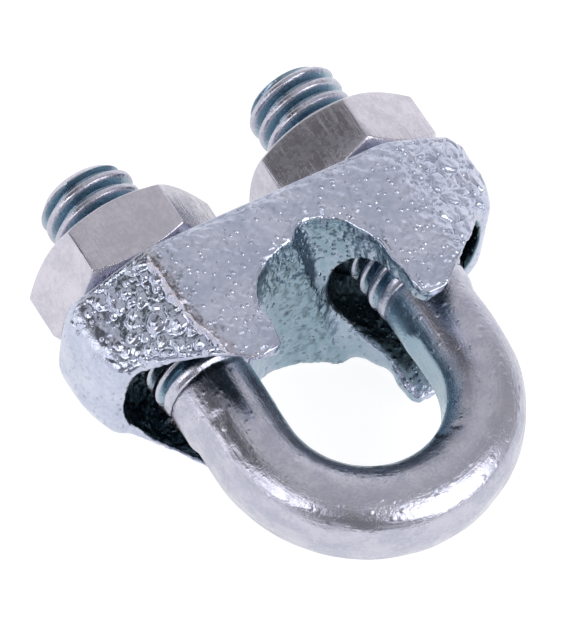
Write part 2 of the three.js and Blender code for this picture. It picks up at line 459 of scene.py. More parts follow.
class Effect:
    """An effect that several finishes share, kept as one node group."""

    name = ""
    inputs: dict[str, str] = {}
    outputs: dict[str, str] = {}

    def __init__(self) -> None:
        """Makes the group's sockets and wires it up."""
        self.group = bpy.data.node_groups.new(self.name, "ShaderNodeTree")
        for way, sockets in (("INPUT", self.inputs), ("OUTPUT", self.outputs)):
            for socket, kind in sockets.items():
                self.group.interface.new_socket(name=socket, in_out=way, socket_type=f"NodeSocket{kind}")
        graph = Graph(self.group)
        source = graph.add("NodeGroupInput").outputs
        results = self.wire(graph, source)
        graph.add("NodeGroupOutput", dict(results))

    def wire(self, graph: Graph, source: bpy.types.NodeOutputs) -> dict[str, bpy.types.NodeSocket]:
        """Wires the group up and returns a socket for each of its outputs."""
        raise NotImplementedError

    def place(self, graph: Graph, inputs: dict[str, Value]) -> bpy.types.NodeOutputs:
        """Places the group in a material with its own values and returns the group's outputs."""
        node = graph.add("ShaderNodeGroup", node_tree=self.group)
        for name, value in inputs.items():
            graph.set_input(node, name, value)
        return node.outputs


class Mottle(Effect):
    """Clouds of slightly different tone in a zinc coat, with a blue tint and painted shade in its hollows and
    a darker painted shade in its deepest hollows.
    """

    name = "zinc_mottle"
    inputs = {
        "Vector": "Vector", "Scale": "Float", "Light": "Color", "Dark": "Color", "Hollow": "Color",
        "Deep": "Color", "Rust": "Color", "Recess": "Float", "Stain": "Float",
    }
    outputs = {"Color": "Color", "Mask": "Float"}
    fine_ratio = 7.0
    fine_share = 0.35
    tone_range = (0.36, 0.64)
    unevenness = 0.6
    hollow_tint_and_shade_range = (0.1, 0.5)
    deep_shade_range = (0.55, 0.95)
    stain_range = (0.35, 0.6)

    def wire(self, graph: Graph, source: bpy.types.NodeOutputs) -> dict[str, bpy.types.NodeSocket]:
        """Two sizes of cloud pick the tone, and the painted-shade value brings in the hollows' blue tint with
        painted shade, then the deep painted shade.
        """
        broad = graph.noise(source["Vector"], source["Scale"], 3.0, 0.6)
        fine_scale = graph.math("MULTIPLY", source["Scale"], self.fine_ratio)
        fine = graph.noise(source["Vector"], fine_scale, 2.0, 0.6)
        broad = graph.math("MULTIPLY", broad, 1 - self.fine_share)
        cloud = graph.math("MULTIPLY_ADD", fine, self.fine_share, broad)
        mask = graph.range(cloud, *self.tone_range)
        tone = graph.blend(mask, source["Dark"], source["Light"])
        uneven = graph.math("MULTIPLY_ADD", cloud, self.unevenness, -self.unevenness / 2)
        # Painted shade: the mesh's painted-shade value, made uneven by the clouds, darkens the hollows to a
        # shaded blue tint and then to the deep painted shade.
        recess = graph.math("ADD", source["Recess"], uneven)
        tone = graph.blend(graph.range(recess, *self.hollow_tint_and_shade_range), tone, source["Hollow"])
        tone = graph.blend(graph.range(recess, *self.deep_shade_range), tone, source["Deep"])
        stain = graph.math("MULTIPLY", source["Stain"], graph.range(fine, *self.stain_range))
        return {"Color": graph.blend(stain, tone, source["Rust"]), "Mask": mask}


class Grain(Effect):
    """The small relief of a zinc coat: raised dots, fine grain and slight waviness."""

    name = "zinc_grain"
    inputs = {"Vector": "Vector", "Dot Scale": "Float", "Dots": "Float", "Grain": "Float", "Waves": "Float"}
    outputs = {"Height": "Float"}
    dot_edge = (0.42, 0.1)
    chosen_range = (0.4, 0.65)
    grain_scale = 9.0
    wave_scale = 1.1

    def wire(self, graph: Graph, source: bpy.types.NodeOutputs) -> dict[str, bpy.types.NodeSocket]:
        """Scattered dots stand on grain, which stands on waves."""
        spots = graph.add(
            "ShaderNodeTexVoronoi", {"Vector": source["Vector"], "Scale": source["Dot Scale"]}
        ).outputs
        round_dot = graph.range(spots["Distance"], *self.dot_edge)
        chosen = graph.add("ShaderNodeSeparateColor", {0: spots["Color"]}).outputs[0]
        dots = graph.math("MULTIPLY", round_dot, graph.range(chosen, *self.chosen_range))
        grain = graph.noise(source["Vector"], self.grain_scale, 3.0, 0.65)
        waves = graph.noise(source["Vector"], self.wave_scale)
        height = graph.math("MULTIPLY", dots, source["Dots"])
        height = graph.math("MULTIPLY_ADD", grain, source["Grain"], height)
        return {"Height": graph.math("MULTIPLY_ADD", waves, source["Waves"], height)}


class Marks(Effect):
    """Fine streaks and a few scuffs, left by tools and handling."""

    name = "tool_marks"
    inputs = {"Vector": "Vector", "Stretch": "Vector", "Depth": "Float"}
    outputs = {"Height": "Float", "Mask": "Float"}
    streak_scale = 6.0
    streak_range = (0.5, 0.68)
    patch_scale = 0.8
    patch_range = (0.4, 0.62)

    def wire(self, graph: Graph, source: bpy.types.NodeOutputs) -> dict[str, bpy.types.NodeSocket]:
        """Noise stretched along one direction makes the streaks, and patches decide where."""
        long = graph.add(
            "ShaderNodeMapping", {"Vector": source["Vector"], "Scale": source["Stretch"]}
        ).outputs[0]
        streaks = graph.noise(long, self.streak_scale, 3.0, 0.7)
        patches = graph.range(graph.noise(source["Vector"], self.patch_scale), *self.patch_range)
        mask = graph.math("MULTIPLY", graph.range(streaks, *self.streak_range), patches)
        height = graph.math("MULTIPLY", streaks, source["Depth"])
        return {"Height": height, "Mask": mask}


@dataclass(frozen=True)
class ZincFinish:
    """Blue-bright zinc plating on one kind of surface."""

    name: str
    light: Colour
    dark: Colour
    # hollow is a blue tint with painted shade for the hollows; deep is the darker painted shade of the
    # deepest hollows.
    hollow: Colour
    deep: Colour
    roughness: tuple[float, float]
    rust: Colour = (0.42, 0.33, 0.33, 1)
    pattern: Pattern = Pattern.OBJECT
    mottle_scale: float = 0.5
    dot_scale: float = 3.0
    dots: float = 0.0
    grain: float = 0.01
    waves: float = 0.02
    stretch: tuple[float, float, float] = (1.0, 0.06, 1.0)
    streaks: float = 0.004
    gloss_roughness: float = 0.12
    mark_roughness: float = 0.12

    def build(self, effects: dict[type[Effect], Effect]) -> bpy.types.Material:
        """Makes the finish's material.

        Args:
            effects: The shared effects, by class.

        Returns:
            The material.
        """
        material = bpy.data.materials.new(self.name)
        material.use_nodes = True
        graph = Graph(material.node_tree)
        if self.pattern is Pattern.OBJECT:
            source = graph.add("ShaderNodeTexCoord").outputs["Object"]
            scale = (1 / MM,) * 3
        else:
            source = graph.attribute(self.pattern.value, "Vector")
            scale = (1.0, 1.0, 1.0)
        vector = graph.add("ShaderNodeMapping", {"Vector": source, "Scale": scale}).outputs[0]
        # The mottle paints shade into the hollows, following the mesh's painted-shade layer.
        mottle = effects[Mottle].place(graph, {
            "Vector": vector, "Scale": self.mottle_scale, "Light": self.light, "Dark": self.dark,
            "Hollow": self.hollow, "Deep": self.deep, "Rust": self.rust,
            "Recess": graph.attribute("recess"), "Stain": graph.attribute("stain"),
        })
        grain = effects[Grain].place(graph, {
            "Vector": vector, "Dot Scale": self.dot_scale, "Dots": self.dots, "Grain": self.grain,
            "Waves": self.waves,
        })
        marks = effects[Marks].place(graph, {
            "Vector": vector, "Stretch": self.stretch, "Depth": self.streaks,
        })
        height = graph.math("ADD", grain["Height"], marks["Height"])
        bump = graph.add("ShaderNodeBump", {"Height": height, "Distance": MM, "Strength": 1.0})
        dull = graph.range(mottle["Mask"], 0.0, 1.0, self.roughness[1], self.roughness[0])
        dull = graph.math("MULTIPLY_ADD", marks["Mask"], self.mark_roughness, dull)
        rough = graph.add(
            "ShaderNodeMix", {0: graph.attribute("gloss"), 2: dull, 3: self.gloss_roughness},
            data_type="FLOAT",
        )
        shader = graph.add("ShaderNodeBsdfPrincipled", {
            "Base Color": mottle["Color"], "Metallic": 1.0, "Roughness": rough.outputs[0],
            "Normal": bump.outputs[0],
        })
        graph.add("ShaderNodeOutputMaterial", {"Surface": shader.outputs[0]})
        return material


@dataclass(frozen=True)
class Dent:
    """A shallow dent in the upper side of the rod: where it is along and across the rod, and its size."""

    along: float
    out: float
    z: float
    radius: float
    depth: float

    def drop(self, spot: tuple[float, float, float]) -> float:
        """How far the dent lowers the rod's surface at a spot."""
        away = math.dist(spot, (self.along, self.out, self.z))
        return self.depth * smooth_step(away, self.radius, 0.0)


@dataclass
class UBolt:
    """The bent rod with a thread on each of its two legs."""

    placed: Placed
    thread: Thread
    leg_x: float = LEG_X
    rod_radius: float = 1.825
    leg_length: dict[Side, float] = field(default_factory=lambda: {Side.LEFT: 13.5, Side.RIGHT: 13.845})
    thread_start: float = 3.6
    run_out: float = 0.65
    thread_blend: tuple[float, float] = (0.05, 0.3)
    chamfer: float = 0.4
    chamfer_blend: float = 0.12
    section_steps: int = 96
    bend_steps: int = 200
    leg_steps: int = 36
    unpressed: float = 2.2
    outer_pad: float = 1.6
    outer_curve: float = 3.1
    outer_from: Fade = Fade(-9.9, -9.0)
    outer_to: Fade = Fade(11.2, 9.6)
    inner_pad: float = 1.62
    inner_from: Fade = Fade(-9.6, -8.4)
    inner_to: Fade = Fade(10.0, 8.6)
    edge_blend: float = 0.1
    ripple_height: float = 0.02
    ripple_along: float = 0.9
    ripple_across: float = 2
    # The inner side of the rod gets the hollows' blue tint and painted shade.
    inside: Fade = Fade(-0.9, -1.7)
    inside_painted_shade: float = 0.5
    dents: tuple[Dent, ...] = (
        Dent(-1.9, -1.1, 1.3, 0.5, 0.1), Dent(2.3, -1.2, 1.2, 0.45, 0.09),
        Dent(2.9, -0.9, 1.5, 0.35, 0.06), Dent(-8.9, 0.9, 1.5, 0.5, 0.07),
        Dent(-7.4, 1.1, 1.4, 0.4, 0.05),
    )
    crease: float = 50

    def rod(self) -> BMesh:
        """The rod from one thread to the other, open at its two ends, before it is worked."""
        bm = bmesh.new()
        top = self.thread_start - self.run_out
        made = bmesh.ops.create_circle(bm, segments=self.section_steps, radius=self.rod_radius)
        ring = list({edge for vert in made["verts"] for edge in vert.link_edges})
        turn_verts(bm, made["verts"], math.pi / 2, "X")
        bmesh.ops.translate(bm, vec=(-self.leg_x, top, 0), verts=made["verts"])
        ring = self.run_leg(bm, ring, -top)
        made = bmesh.ops.spin(
            bm, geom=ring + list({vert for edge in ring for vert in edge.verts}), cent=ORIGIN,
            axis=(0, 0, 1), angle=math.pi, steps=self.bend_steps, use_merge=False,
        )
        last = [item for item in made["geom_last"] if isinstance(item, BMEdge)]
        self.run_leg(bm, last, top)
        close_up(bm)
        return bm

    def run_leg(self, bm: BMesh, ring: list[BMEdge], length: float) -> list[BMEdge]:
        """Draws a ring of edges along Y in even steps and returns the ring at its far end."""
        for _ in range(self.leg_steps):
            made = bmesh.ops.extrude_edge_only(bm, edges=ring)
            bmesh.ops.translate(bm, vec=(0, length / self.leg_steps, 0), verts=verts_of(made))
            ring = [edge for edge in edges_of(made) if edge.is_boundary]
        return ring

    def path_point(self, point: Vector) -> tuple[float, float, float]:
        """Where a point is along the rod, outwards from its centre line, and along Z."""
        if point.y >= 0:
            side = math.copysign(1, point.x)
            return side * (math.pi / 2 * self.leg_x + point.y), abs(point.x) - self.leg_x, point.z
        angle = math.atan2(point.x, -point.y)
        return angle * self.leg_x, math.hypot(point.x, point.y) - self.leg_x, point.z

    def outward(self, point: Vector) -> Vector:
        """The direction away from the middle of the bend, square to the rod."""
        if point.y >= 0:
            return Vector((math.copysign(1, point.x), 0, 0))
        return Vector((point.x, point.y, 0)).normalized()

    def press_flats(self, bm: BMesh) -> None:
        """Presses the outer rim and the inner bend flatter, as the bending tool does, and paints a blue tint
        and shade on the rod's inner side.
        """
        recess = bm.verts.layers.float.new("recess")
        for vert in bm.verts:
            along, out, z = self.path_point(vert.co)
            spot = Vector((along * self.ripple_along, out * self.ripple_across, z * self.ripple_across))
            ripple = self.ripple_height * noise.noise(spot)
            grip = min(self.outer_from.at(along), self.outer_to.at(along))
            crown = z * z / (2 * self.outer_curve)
            outer = mixed(self.unpressed, self.outer_pad, grip) - crown + 2 * ripple
            grip = min(self.inner_from.at(along), self.inner_to.at(along))
            inner = mixed(self.unpressed, self.inner_pad, grip) + ripple
            pressed = soft_minimum(out, outer, self.edge_blend)
            pressed = -soft_minimum(-pressed, inner, self.edge_blend)
            vert.co += self.outward(vert.co) * (pressed - out + 0.5 * ripple)
            # Painted shade and blue tint on the rod's inner side.
            vert[recess] = self.inside_painted_shade * self.inside.at(out)
            for dent in self.dents:
                vert.co.z -= dent.drop((along, out, z))

    def leg_thread(self, side: Side) -> BMesh:
        """The thread of one leg, with its run-out, its chamfer and a closed end."""
        start, end = self.thread_start - self.run_out, self.leg_length[side]
        bm = self.thread.screw(start, end, 0.0)
        recess = bm.verts.layers.float["recess"]
        shallow = Fade(start + self.thread_blend[0], self.thread_start + self.thread_blend[1])
        for vert in bm.verts:
            cut = shallow.at(vert.co.y)
            radius = mixed(self.rod_radius, math.hypot(vert.co.x, vert.co.z), cut)
            end_limit = self.thread.radius - self.chamfer + (end - vert.co.y)
            set_radius(vert, soft_minimum(radius, end_limit, self.chamfer_blend))
            # The roots' painted shade fades out along the run-out.
            vert[recess] *= cut
        top = [edge for edge in open_edges(bm) if edge.verts[0].co.y > end - 100 * WELD]
        bmesh.ops.holes_fill(bm, edges=top, sides=0)
        bmesh.ops.translate(bm, vec=(side.value * self.leg_x, 0, 0), verts=bm.verts)
        return bm

    def build(self, centre: Vector, material: bpy.types.Material) -> bpy.types.Object:
        """Makes the U-bolt and sets it down in the frame."""
        bm = self.rod()
        self.press_flats(bm)
        for side in Side:
            join(bm, self.leg_thread(side))
        for side in Side:
            ends = [edge for edge in open_edges(bm) if edge.verts[0].co.x * side.value > 0]
            bmesh.ops.bridge_loops(bm, edges=ends)
        close_up(bm)
        path = bm.verts.layers.float_vector.new(Pattern.ALONG_ROD.value)
        for vert in bm.verts:
            vert[path] = Vector(self.path_point(vert.co))
        return self.placed.put_down(mesh_from(bm, "u_bolt"), centre, material, self.crease)


class Ring(Enum):
    """A ring of a nut's shell: round the hole's mouth, round the flat face or round the hexagon."""

    MOUTH = "mouth"
    FACE = "face"
    HEXAGON = "hexagon"


@dataclass
class HexNut:
    """A hexagon nut, chamfered on both faces, on one leg."""

    placed: Placed
    thread: Thread
    side: Side
    turn: float
    leg_x: float = LEG_X
    seat: float = 8.03
    height: float = 2.8
    across_flats: float = 7.0
    face_land: float = 0.2
    chamfer_angle: float = 30.0
    mouth_radius: float = 2.3
    mouth_lip: float = 0.05
    mouth_slope: float = 1.2
    rim_steps: int = 120
    edge_radius: float = 0.07
    edge_angle: float = 12
    crease: float = 40

    def flat_radius(self, angle: float) -> float:
        """How far the hexagon's side is from the axis in a direction, in radians."""
        off_flat = (angle - math.radians(self.turn)) % (math.pi / 3) - math.pi / 6
        return self.across_flats / 2 / math.cos(off_flat)

    def shell(self) -> BMesh:
        """The nut's outside, open at the two ends of its hole, about the Y axis."""
        face_radius = self.across_flats / 2 - self.face_land
        slope = math.tan(math.radians(self.chamfer_angle))
        bm = bmesh.new()
        made = bmesh.ops.create_circle(bm, segments=self.rim_steps, radius=self.mouth_radius)
        turn_verts(bm, made["verts"], math.pi / 2, "X")
        turn_verts(bm, made["verts"], math.radians(self.turn), "Y")
        ring = bm.edges[:]
        outline = ((Ring.FACE, 0), (Ring.HEXAGON, 0), (Ring.HEXAGON, 1), (Ring.FACE, 1), (Ring.MOUTH, 1))
        for kind, at_top in outline:
            made = bmesh.ops.extrude_edge_only(bm, edges=ring)
            for vert in verts_of(made):
                flat = self.flat_radius(math.atan2(vert.co.x, vert.co.z))
                drop = (flat - face_radius) * slope if kind is Ring.HEXAGON else 0.0
                radii = {Ring.MOUTH: self.mouth_radius, Ring.FACE: face_radius, Ring.HEXAGON: flat}
                set_radius(vert, radii[kind])
                vert.co.y = self.height - drop if at_top else drop
            ring = [edge for edge in edges_of(made) if edge.is_boundary]
        bmesh.ops.recalc_face_normals(bm, faces=bm.faces)
        inner_edges = [edge for edge in bm.edges if not edge.is_boundary]
        sharp = math.radians(self.edge_angle)
        round_off(bm, [edge for edge in inner_edges if edge.calc_face_angle() > sharp], self.edge_radius, 3)
        return bm

    def bore(self) -> BMesh:
        """The threaded hole, widened to its mouth at both faces."""
        bm = self.thread.screw(0.0, self.height, self.thread.clearance)
        for vert in bm.verts:
            from_face = min(vert.co.y, self.height - vert.co.y)
            mouth = self.mouth_radius - self.mouth_lip - from_face * self.mouth_slope
            set_radius(vert, max(math.hypot(vert.co.x, vert.co.z), mouth))
        return bm

    def build(self, centre: Vector, material: bpy.types.Material) -> bpy.types.Object:
        """Makes the nut and sets it down in the frame."""
        bm = self.shell()
        # The shell gets no painted shade; the bore's thread roots bring theirs.
        bm.verts.layers.float.new("recess")
        join(bm, self.bore_in_phase())
        for at_top in (False, True):
            rims = [edge for edge in open_edges(bm) if (edge.verts[0].co.y > self.height / 2) is at_top]
            bmesh.ops.bridge_loops(bm, edges=rims)
        close_up(bm)
        bmesh.ops.translate(bm, vec=(self.side.value * self.leg_x, self.seat, 0), verts=bm.verts)
        return self.placed.put_down(mesh_from(bm, self.placed.name), centre, material, self.crease)

    def bore_in_phase(self) -> BMesh:
        """The threaded hole, turned so that its thread follows the bolt's."""
        bm = self.bore()
        phase = self.seat % self.thread.pitch
        turn_verts(bm, bm.verts, -phase / self.thread.pitch * 2 * math.pi, "Y")
        return bm


@dataclass(frozen=True)
class RopeSeat:
    """The arch that the rope lies in. It is wider and lower at the saddle's lower face."""

    upper: tuple[float, float] = (2.72, 5.85)
    lower: tuple[float, float] = (3.4, 4.8)
    half_depth: float = 4.5
    lay: float = 16.0
    ridge_height: float = 0.4
    groove_depth: float = 0.19
    strand_spacing: float = 6.4
    ridge_reach: float = 3.7
    ridge_front: Fade = Fade(0.25, -0.35)
    ridge_back: Fade = Fade(-3.6, -0.7)
    groove_front: Fade = Fade(-0.2, 0.6)
    groove_back: Fade = Fade(2.7, 1.5)
    arch_reach: Fade = Fade(5.0, 3.9)
    skin_reach: Fade = Fade(1.4, 0.3)
    above_lobes: Fade = Fade(0.8, 2.0)

    def section(self, z: float) -> tuple[float, float]:
        """The arch's half width and the height of its centre at a depth."""
        share = (z + self.half_depth) / (2 * self.half_depth)
        half_width = mixed(self.lower[0], self.upper[0], share)
        return half_width, mixed(self.lower[1], self.upper[1], share) - half_width

    def cutter(self, overrun: float, drop: float) -> BMesh:
        """The arch as a solid that runs past both faces and far below the saddle."""
        bm = bmesh.new()
        for z in (-self.half_depth - overrun, self.half_depth + overrun):
            half_width, centre = self.section(z)
            made = bmesh.ops.create_circle(bm, cap_ends=True, segments=96, radius=half_width)
            for vert in made["verts"]:
                if vert.co.y < -WELD:
                    vert.co.y = -drop
                vert.co.y += centre
                vert.co.z = z
        bmesh.ops.bridge_loops(bm, edges=bm.edges[:])
        bmesh.ops.recalc_face_normals(bm, faces=bm.faces)
        return bm

    def surface_point(self, point: Vector) -> tuple[float, float]:
        """How far a point is from the arch's surface, and how far round from the crown it is."""
        half_width, centre = self.section(point.z)
        if point.y > centre:
            away = math.hypot(point.x, point.y - centre) - half_width
            return away, half_width * math.atan2(point.x, point.y - centre)
        quarter = half_width * math.pi / 2
        return abs(point.x) - half_width, math.copysign(quarter + centre - point.y, point.x)

    def strand_shape(self, point: Vector, around: float) -> tuple[float, float]:
        """How far a point is up the ridge between two rope strands, and how far into a groove."""
        drift = (self.half_depth - point.z) * math.tan(math.radians(self.lay))
        phase = (around - drift + self.ridge_reach) % self.strand_spacing - self.ridge_reach
        in_arch = self.arch_reach.at(abs(around))
        ridge = self.ridge_front.at(phase) * self.ridge_back.at(phase) * in_arch
        return ridge, self.groove_front.at(phase) * self.groove_back.at(phase) * in_arch

    def strand_shift(self, point: Vector) -> Vector:
        """How the grip of the rope's strands moves a point near the arch's surface."""
        away, around = self.surface_point(point)
        ridge, groove = self.strand_shape(point, around)
        _, centre = self.section(point.z)
        outward = Vector((point.x, max(point.y - centre, 0.0), 0)).normalized()
        near = self.skin_reach.at(away) * self.above_lobes.at(point.y)
        return outward * near * (self.groove_depth * groove - self.ridge_height * ridge)


@dataclass(frozen=True)
class Warp:
    """Where the casting is bent out of its even shape, and how far it moves there."""

    front: Fade = Fade(0.5, 3.5)
    rear: Fade = Fade(-1.0, -3.2)
    left_lobe: Fade = Fade(-1.2, -2.3)
    left_low: Fade = Fade(4.2, 1.8)
    left_slope: tuple[float, float] = (-8.5, -3.6)
    left_rise: float = 0.72
    right_lobe: Fade = Fade(2.2, 3.2)
    right_low: Fade = Fade(3.0, 1.0)
    right_rise: float = 0.15
    hump_outside: Fade = Fade(-8.8, -6.5)
    hump_inside: Fade = Fade(-3.6, -5.2)
    hump_low: Fade = Fade(4.6, 2.2)
    hump_rise: float = 0.4
    thin_side: Fade = Fade(2.0, -2.0)
    thin_low: Fade = Fade(5.2, 1.6)
    thin_rear: Fade = Fade(-1.5, -3.8)
    thin_shift: float = 0.45
    end_reach: Fade = Fade(6.0, 9.0)
    end_low: Fade = Fade(6.0, 4.2)
    end_shift: float = 0.3

    def bend(self, vert: BMVert) -> None:
        """Moves one vertex of the skin."""
        x, y, z = vert.co
        far, near = self.left_slope
        left = self.left_lobe.at(x) * self.left_low.at(y) * clamped((x - far) / (near - far))
        right = self.right_lobe.at(x) * self.right_low.at(y)
        hump = self.hump_outside.at(x) * self.hump_inside.at(x) * self.hump_low.at(y)
        vert.co.y += self.front.at(z) * (self.left_rise * left + self.right_rise * right)
        vert.co.y += self.hump_rise * self.rear.at(z) * hump
        vert.co.z += self.thin_shift * self.thin_side.at(x) * self.thin_low.at(y) * self.thin_rear.at(z)
        vert.co.x -= self.end_shift * math.copysign(self.end_reach.at(abs(x)), x) * self.end_low.at(y)


@dataclass
class Zones:
    """How far a point of the casting's skin belongs to each zone, as shares from 0 to 1."""

    nut_seat: float
    lower_face: float
    rope_seat: float
    pocket: float
    left_bevel: float
    right_bevel: float
    ends: float
    rim: float
    crease: float


@dataclass(frozen=True)
class CastSkin:
    """The as-cast and dipped surface of the saddle.

    A Fade goes by a coordinate or distance in millimetres, or by a part of the skin's normal.
    """

    rope_seat: RopeSeat
    leg_x: float
    seat: float
    half_depth: float
    nut_seat_normal: Fade = Fade(0.75, 0.95)
    nut_seat_band: Fade = Fade(-0.4, -0.1)
    lower_normal: Fade = Fade(-0.8, -0.97)
    seat_reach: Fade = Fade(0.8, 0.5)
    seat_top: Fade = Fade(0.9, 0.4)
    seat_bottom: Fade = Fade(-0.9, -0.45)
    # Where the pockets' painted shade falls: their walls and roofs, faded near the rope seat and, by the lit
    # fades, on the right low side.
    wall_normal: Fade = Fade(0.1, 0.6)
    roof_normal: Fade = Fade(-0.5, -0.8)
    roof_band: Fade = Fade(-2.6, -2.3)
    pocket_reach: Fade = Fade(-0.4, -0.75)
    pocket_band: Fade = Fade(-1.2, -1.8)
    pocket_from_seat: Fade = Fade(0.12, 0.7)
    lit_side: Fade = Fade(1.0, 2.0)
    lit_low: Fade = Fade(3.0, 1.2)
    lit_share: float = 0.6
    crease_x: float = -5.0
    crease_lean: float = 0.5
    crease_rise: Fade = Fade(2.5, 4.8)
    crease_wander: float = 0.12
    crease_rate: float = 0.9
    crease_width: float = 0.3
    bevel_normal: Fade = Fade(0.2, 0.5)
    left_end: Fade = Fade(-8.6, -7.6)
    right_start: Fade = Fade(4.9, 5.8)
    end_start: Fade = Fade(7.2, 8.2)
    rim_tilt: float = 0.6
    rim_normal: Fade = Fade(0.38, 0.12)
    rim_front: Fade = Fade(2.6, 3.6)
    rim_band: Fade = Fade(-0.3, -1.0)
    waves: Cloud = Cloud(0.45, 1.0, 2)
    wave_depth: float = 0.05
    hammer: Cloud = Cloud(2.6, 0.8, 3)
    hammer_depth: tuple[float, float] = (0.1, 0.02)
    dimple_depth: float = 0.03
    drop_spacing: float = 0.42
    foam_depth: float = 0.17
    foam_spacings: tuple[float, float, float] = (0.42, 0.55, 0.85)
    crack_depth: float = 0.11
    crack_spacing: float = 0.75
    crack_edge: Fade = Fade(0.3, 0.02)
    end_depth: float = 0.06
    end_spacing: float = 1.1
    wrinkle: Cloud = Cloud(1.0, 0.7, 4, 2.1)
    wrinkle_rate: tuple[float, float] = (3.4, 2.0)
    wrinkle_front: Fade = Fade(0.5, 3.4)
    wrinkle_hollow: Fade = Fade(0.0, -0.3)
    wrinkle_shade: Fade = Fade(0.3, -0.3)
    wrinkle_depth: tuple[float, float] = (0.05, 0.1)
    nut_seat_even: float = 0.92
    lower_face_even: float = 0.85
    stain_line: Fade = Fade(0.35, 0.05)
    stain_normal: Fade = Fade(0.3, 0.7)
    stain_rim_normal: Fade = Fade(0.0, -0.4)
    stain_rim_left: Fade = Fade(-2.5, -4.5)

    def lumps(self, point: Vector, spacing: float) -> float:
        """Round drops of zinc standing on the surface, from 0 between them to 1 on their tops."""
        distances, centres = noise.voronoi(point / spacing)
        size = 0.26 + 0.36 * noise.cell(centres[0] * 5.3)
        return math.sqrt(max(1 - (distances[0] / size) ** 2, 0.0))

    def foam(self, point: Vector) -> float:
        """Drops of zinc of several sizes, close together, from 0 between them to 1 on their tops."""
        bent = point + 0.1 * noise.noise_vector(point * 2.0)
        small, middle, large = self.foam_spacings
        return max(
            0.6 * self.lumps(bent, small),
            0.8 * self.lumps(bent + Vector((3.1, 0.7, 1.9)), middle),
            self.lumps(bent + Vector((0.4, 5.2, 2.3)), large),
        )

    def cracks(self, point: Vector) -> float:
        """Narrow grooves between flattened drops: 1 in a groove and 0 elsewhere."""
        bent = point + 0.25 * noise.noise_vector(point * 1.3)
        distances, _ = noise.voronoi(bent / self.crack_spacing)
        return self.crack_edge.at(distances[1] - distances[0])

    def wrinkles(self, point: Vector) -> float:
        """Wrinkles that run along the rope, from about -1 to 1."""
        across, along = self.wrinkle_rate
        return self.wrinkle.at(Vector((point.x * across, point.y * across, point.z * along)))

    def pocket_share(self, point: Vector, normal: Vector) -> float:
        """1 on the wall or roof of a pocket, and 0 on the outside."""
        leg = Vector((math.copysign(self.leg_x, point.x), point.y, 0))
        radius = (leg - point).length
        wall = self.wall_normal.at(normal.dot(leg - point) / radius)
        roof = self.roof_normal.at(normal.y) * self.roof_band.at(point.y - self.seat)
        near = self.pocket_reach.at(radius - self.half_depth)
        return max(wall, roof) * near * self.pocket_band.at(point.y - self.seat)

    def zones_at(self, point: Vector, normal: Vector) -> Zones:
        """The zones that a point of the skin belongs to.

        Args:
            point: The point.
            normal: The skin's normal there.

        Returns:
            The zones' shares, and the X of the crease beside the left bevel at the point's height.
        """
        away, _ = self.rope_seat.surface_point(point)
        in_seat = self.seat_reach.at(abs(away)) * self.seat_top.at(normal.z) * self.seat_bottom.at(normal.z)
        # Painted shade inside the pockets, lighter near the rope seat and on the lit right low side.
        pocket = self.pocket_share(point, normal) * (1 - in_seat) * self.pocket_from_seat.at(away)
        pocket *= 1 - self.lit_share * self.lit_side.at(point.x) * self.lit_low.at(point.y)
        wander = self.crease_wander * noise.noise(point * self.crease_rate)
        crease = self.crease_x - self.crease_lean * self.crease_rise.at(point.y) + wander
        on_bevel = self.bevel_normal.at(normal.z)
        left_bevel = smooth_step(point.x, crease, crease - self.crease_width) * on_bevel
        left_bevel *= self.left_end.at(point.x)
        rim = self.rim_normal.at(abs(normal.z - self.rim_tilt)) * self.rim_front.at(point.z)
        return Zones(
            nut_seat=self.nut_seat_normal.at(normal.y) * self.nut_seat_band.at(point.y - self.seat),
            lower_face=self.lower_normal.at(normal.z),
            rope_seat=in_seat,
            pocket=pocket,
            left_bevel=left_bevel,
            right_bevel=self.right_start.at(point.x) * on_bevel,
            ends=self.end_start.at(abs(point.x)),
            rim=rim * self.rim_band.at(point.y - self.seat) * (1 - left_bevel),
            crease=crease,
        )

    def stain_share(self, point: Vector, normal: Vector, zones: Zones) -> float:
        """How brown the zinc is: a line along the crease, and the left lobe's lower rim."""
        line = self.stain_line.at(abs(point.x - zones.crease)) * self.stain_normal.at(normal.z)
        rim = zones.rim * self.stain_rim_normal.at(normal.y) * self.stain_rim_left.at(point.x)
        return max(0.6 * line, 0.5 * rim)

    def work(self, bm: BMesh) -> None:
        """Works the surface into the skin, always inwards, and lays down its painted shade, gloss and stain.
        """
        recess, gloss, stain = (bm.verts.layers.float.new(name) for name in ("recess", "gloss", "stain"))
        moves = []
        for vert in bm.verts:
            point, normal = vert.co, vert.normal
            zones = self.zones_at(point, normal)
            away, around = self.rope_seat.surface_point(point)
            ridge, groove = self.rope_seat.strand_shape(point, around)
            in_seat, smooth = zones.rope_seat, max(zones.rope_seat, zones.ends, zones.rim)
            outside = (1 - in_seat) * (1 - zones.ends) * (1 - 0.5 * zones.rim)
            foam = self.foam(point) if zones.left_bevel > 0 else 0.0
            cracked = zones.right_bevel * self.cracks(point)
            wrinkles = self.wrinkles(point)
            folded = max(groove * self.wrinkle_front.at(point.z), self.wrinkle_hollow.at(away)) * in_seat
            fine, coarse = self.wrinkle_depth
            depth = (
                self.wave_depth * lifted(self.waves.at(point))
                + mixed(*self.hammer_depth, smooth) * lifted(self.hammer.at(point))
                + self.dimple_depth * (1 - self.lumps(point, self.drop_spacing)) * outside
                + self.foam_depth * zones.left_bevel * (1 - foam)
                + self.crack_depth * cracked
                + self.end_depth * zones.ends * (1 - self.lumps(point, self.end_spacing))
                + in_seat * fine * lifted(wrinkles)
                + folded * coarse * abs(wrinkles)
            )
            depth *= (1 - self.nut_seat_even * zones.nut_seat) * (1 - self.lower_face_even * zones.lower_face)
            moves.append(normal * -depth)
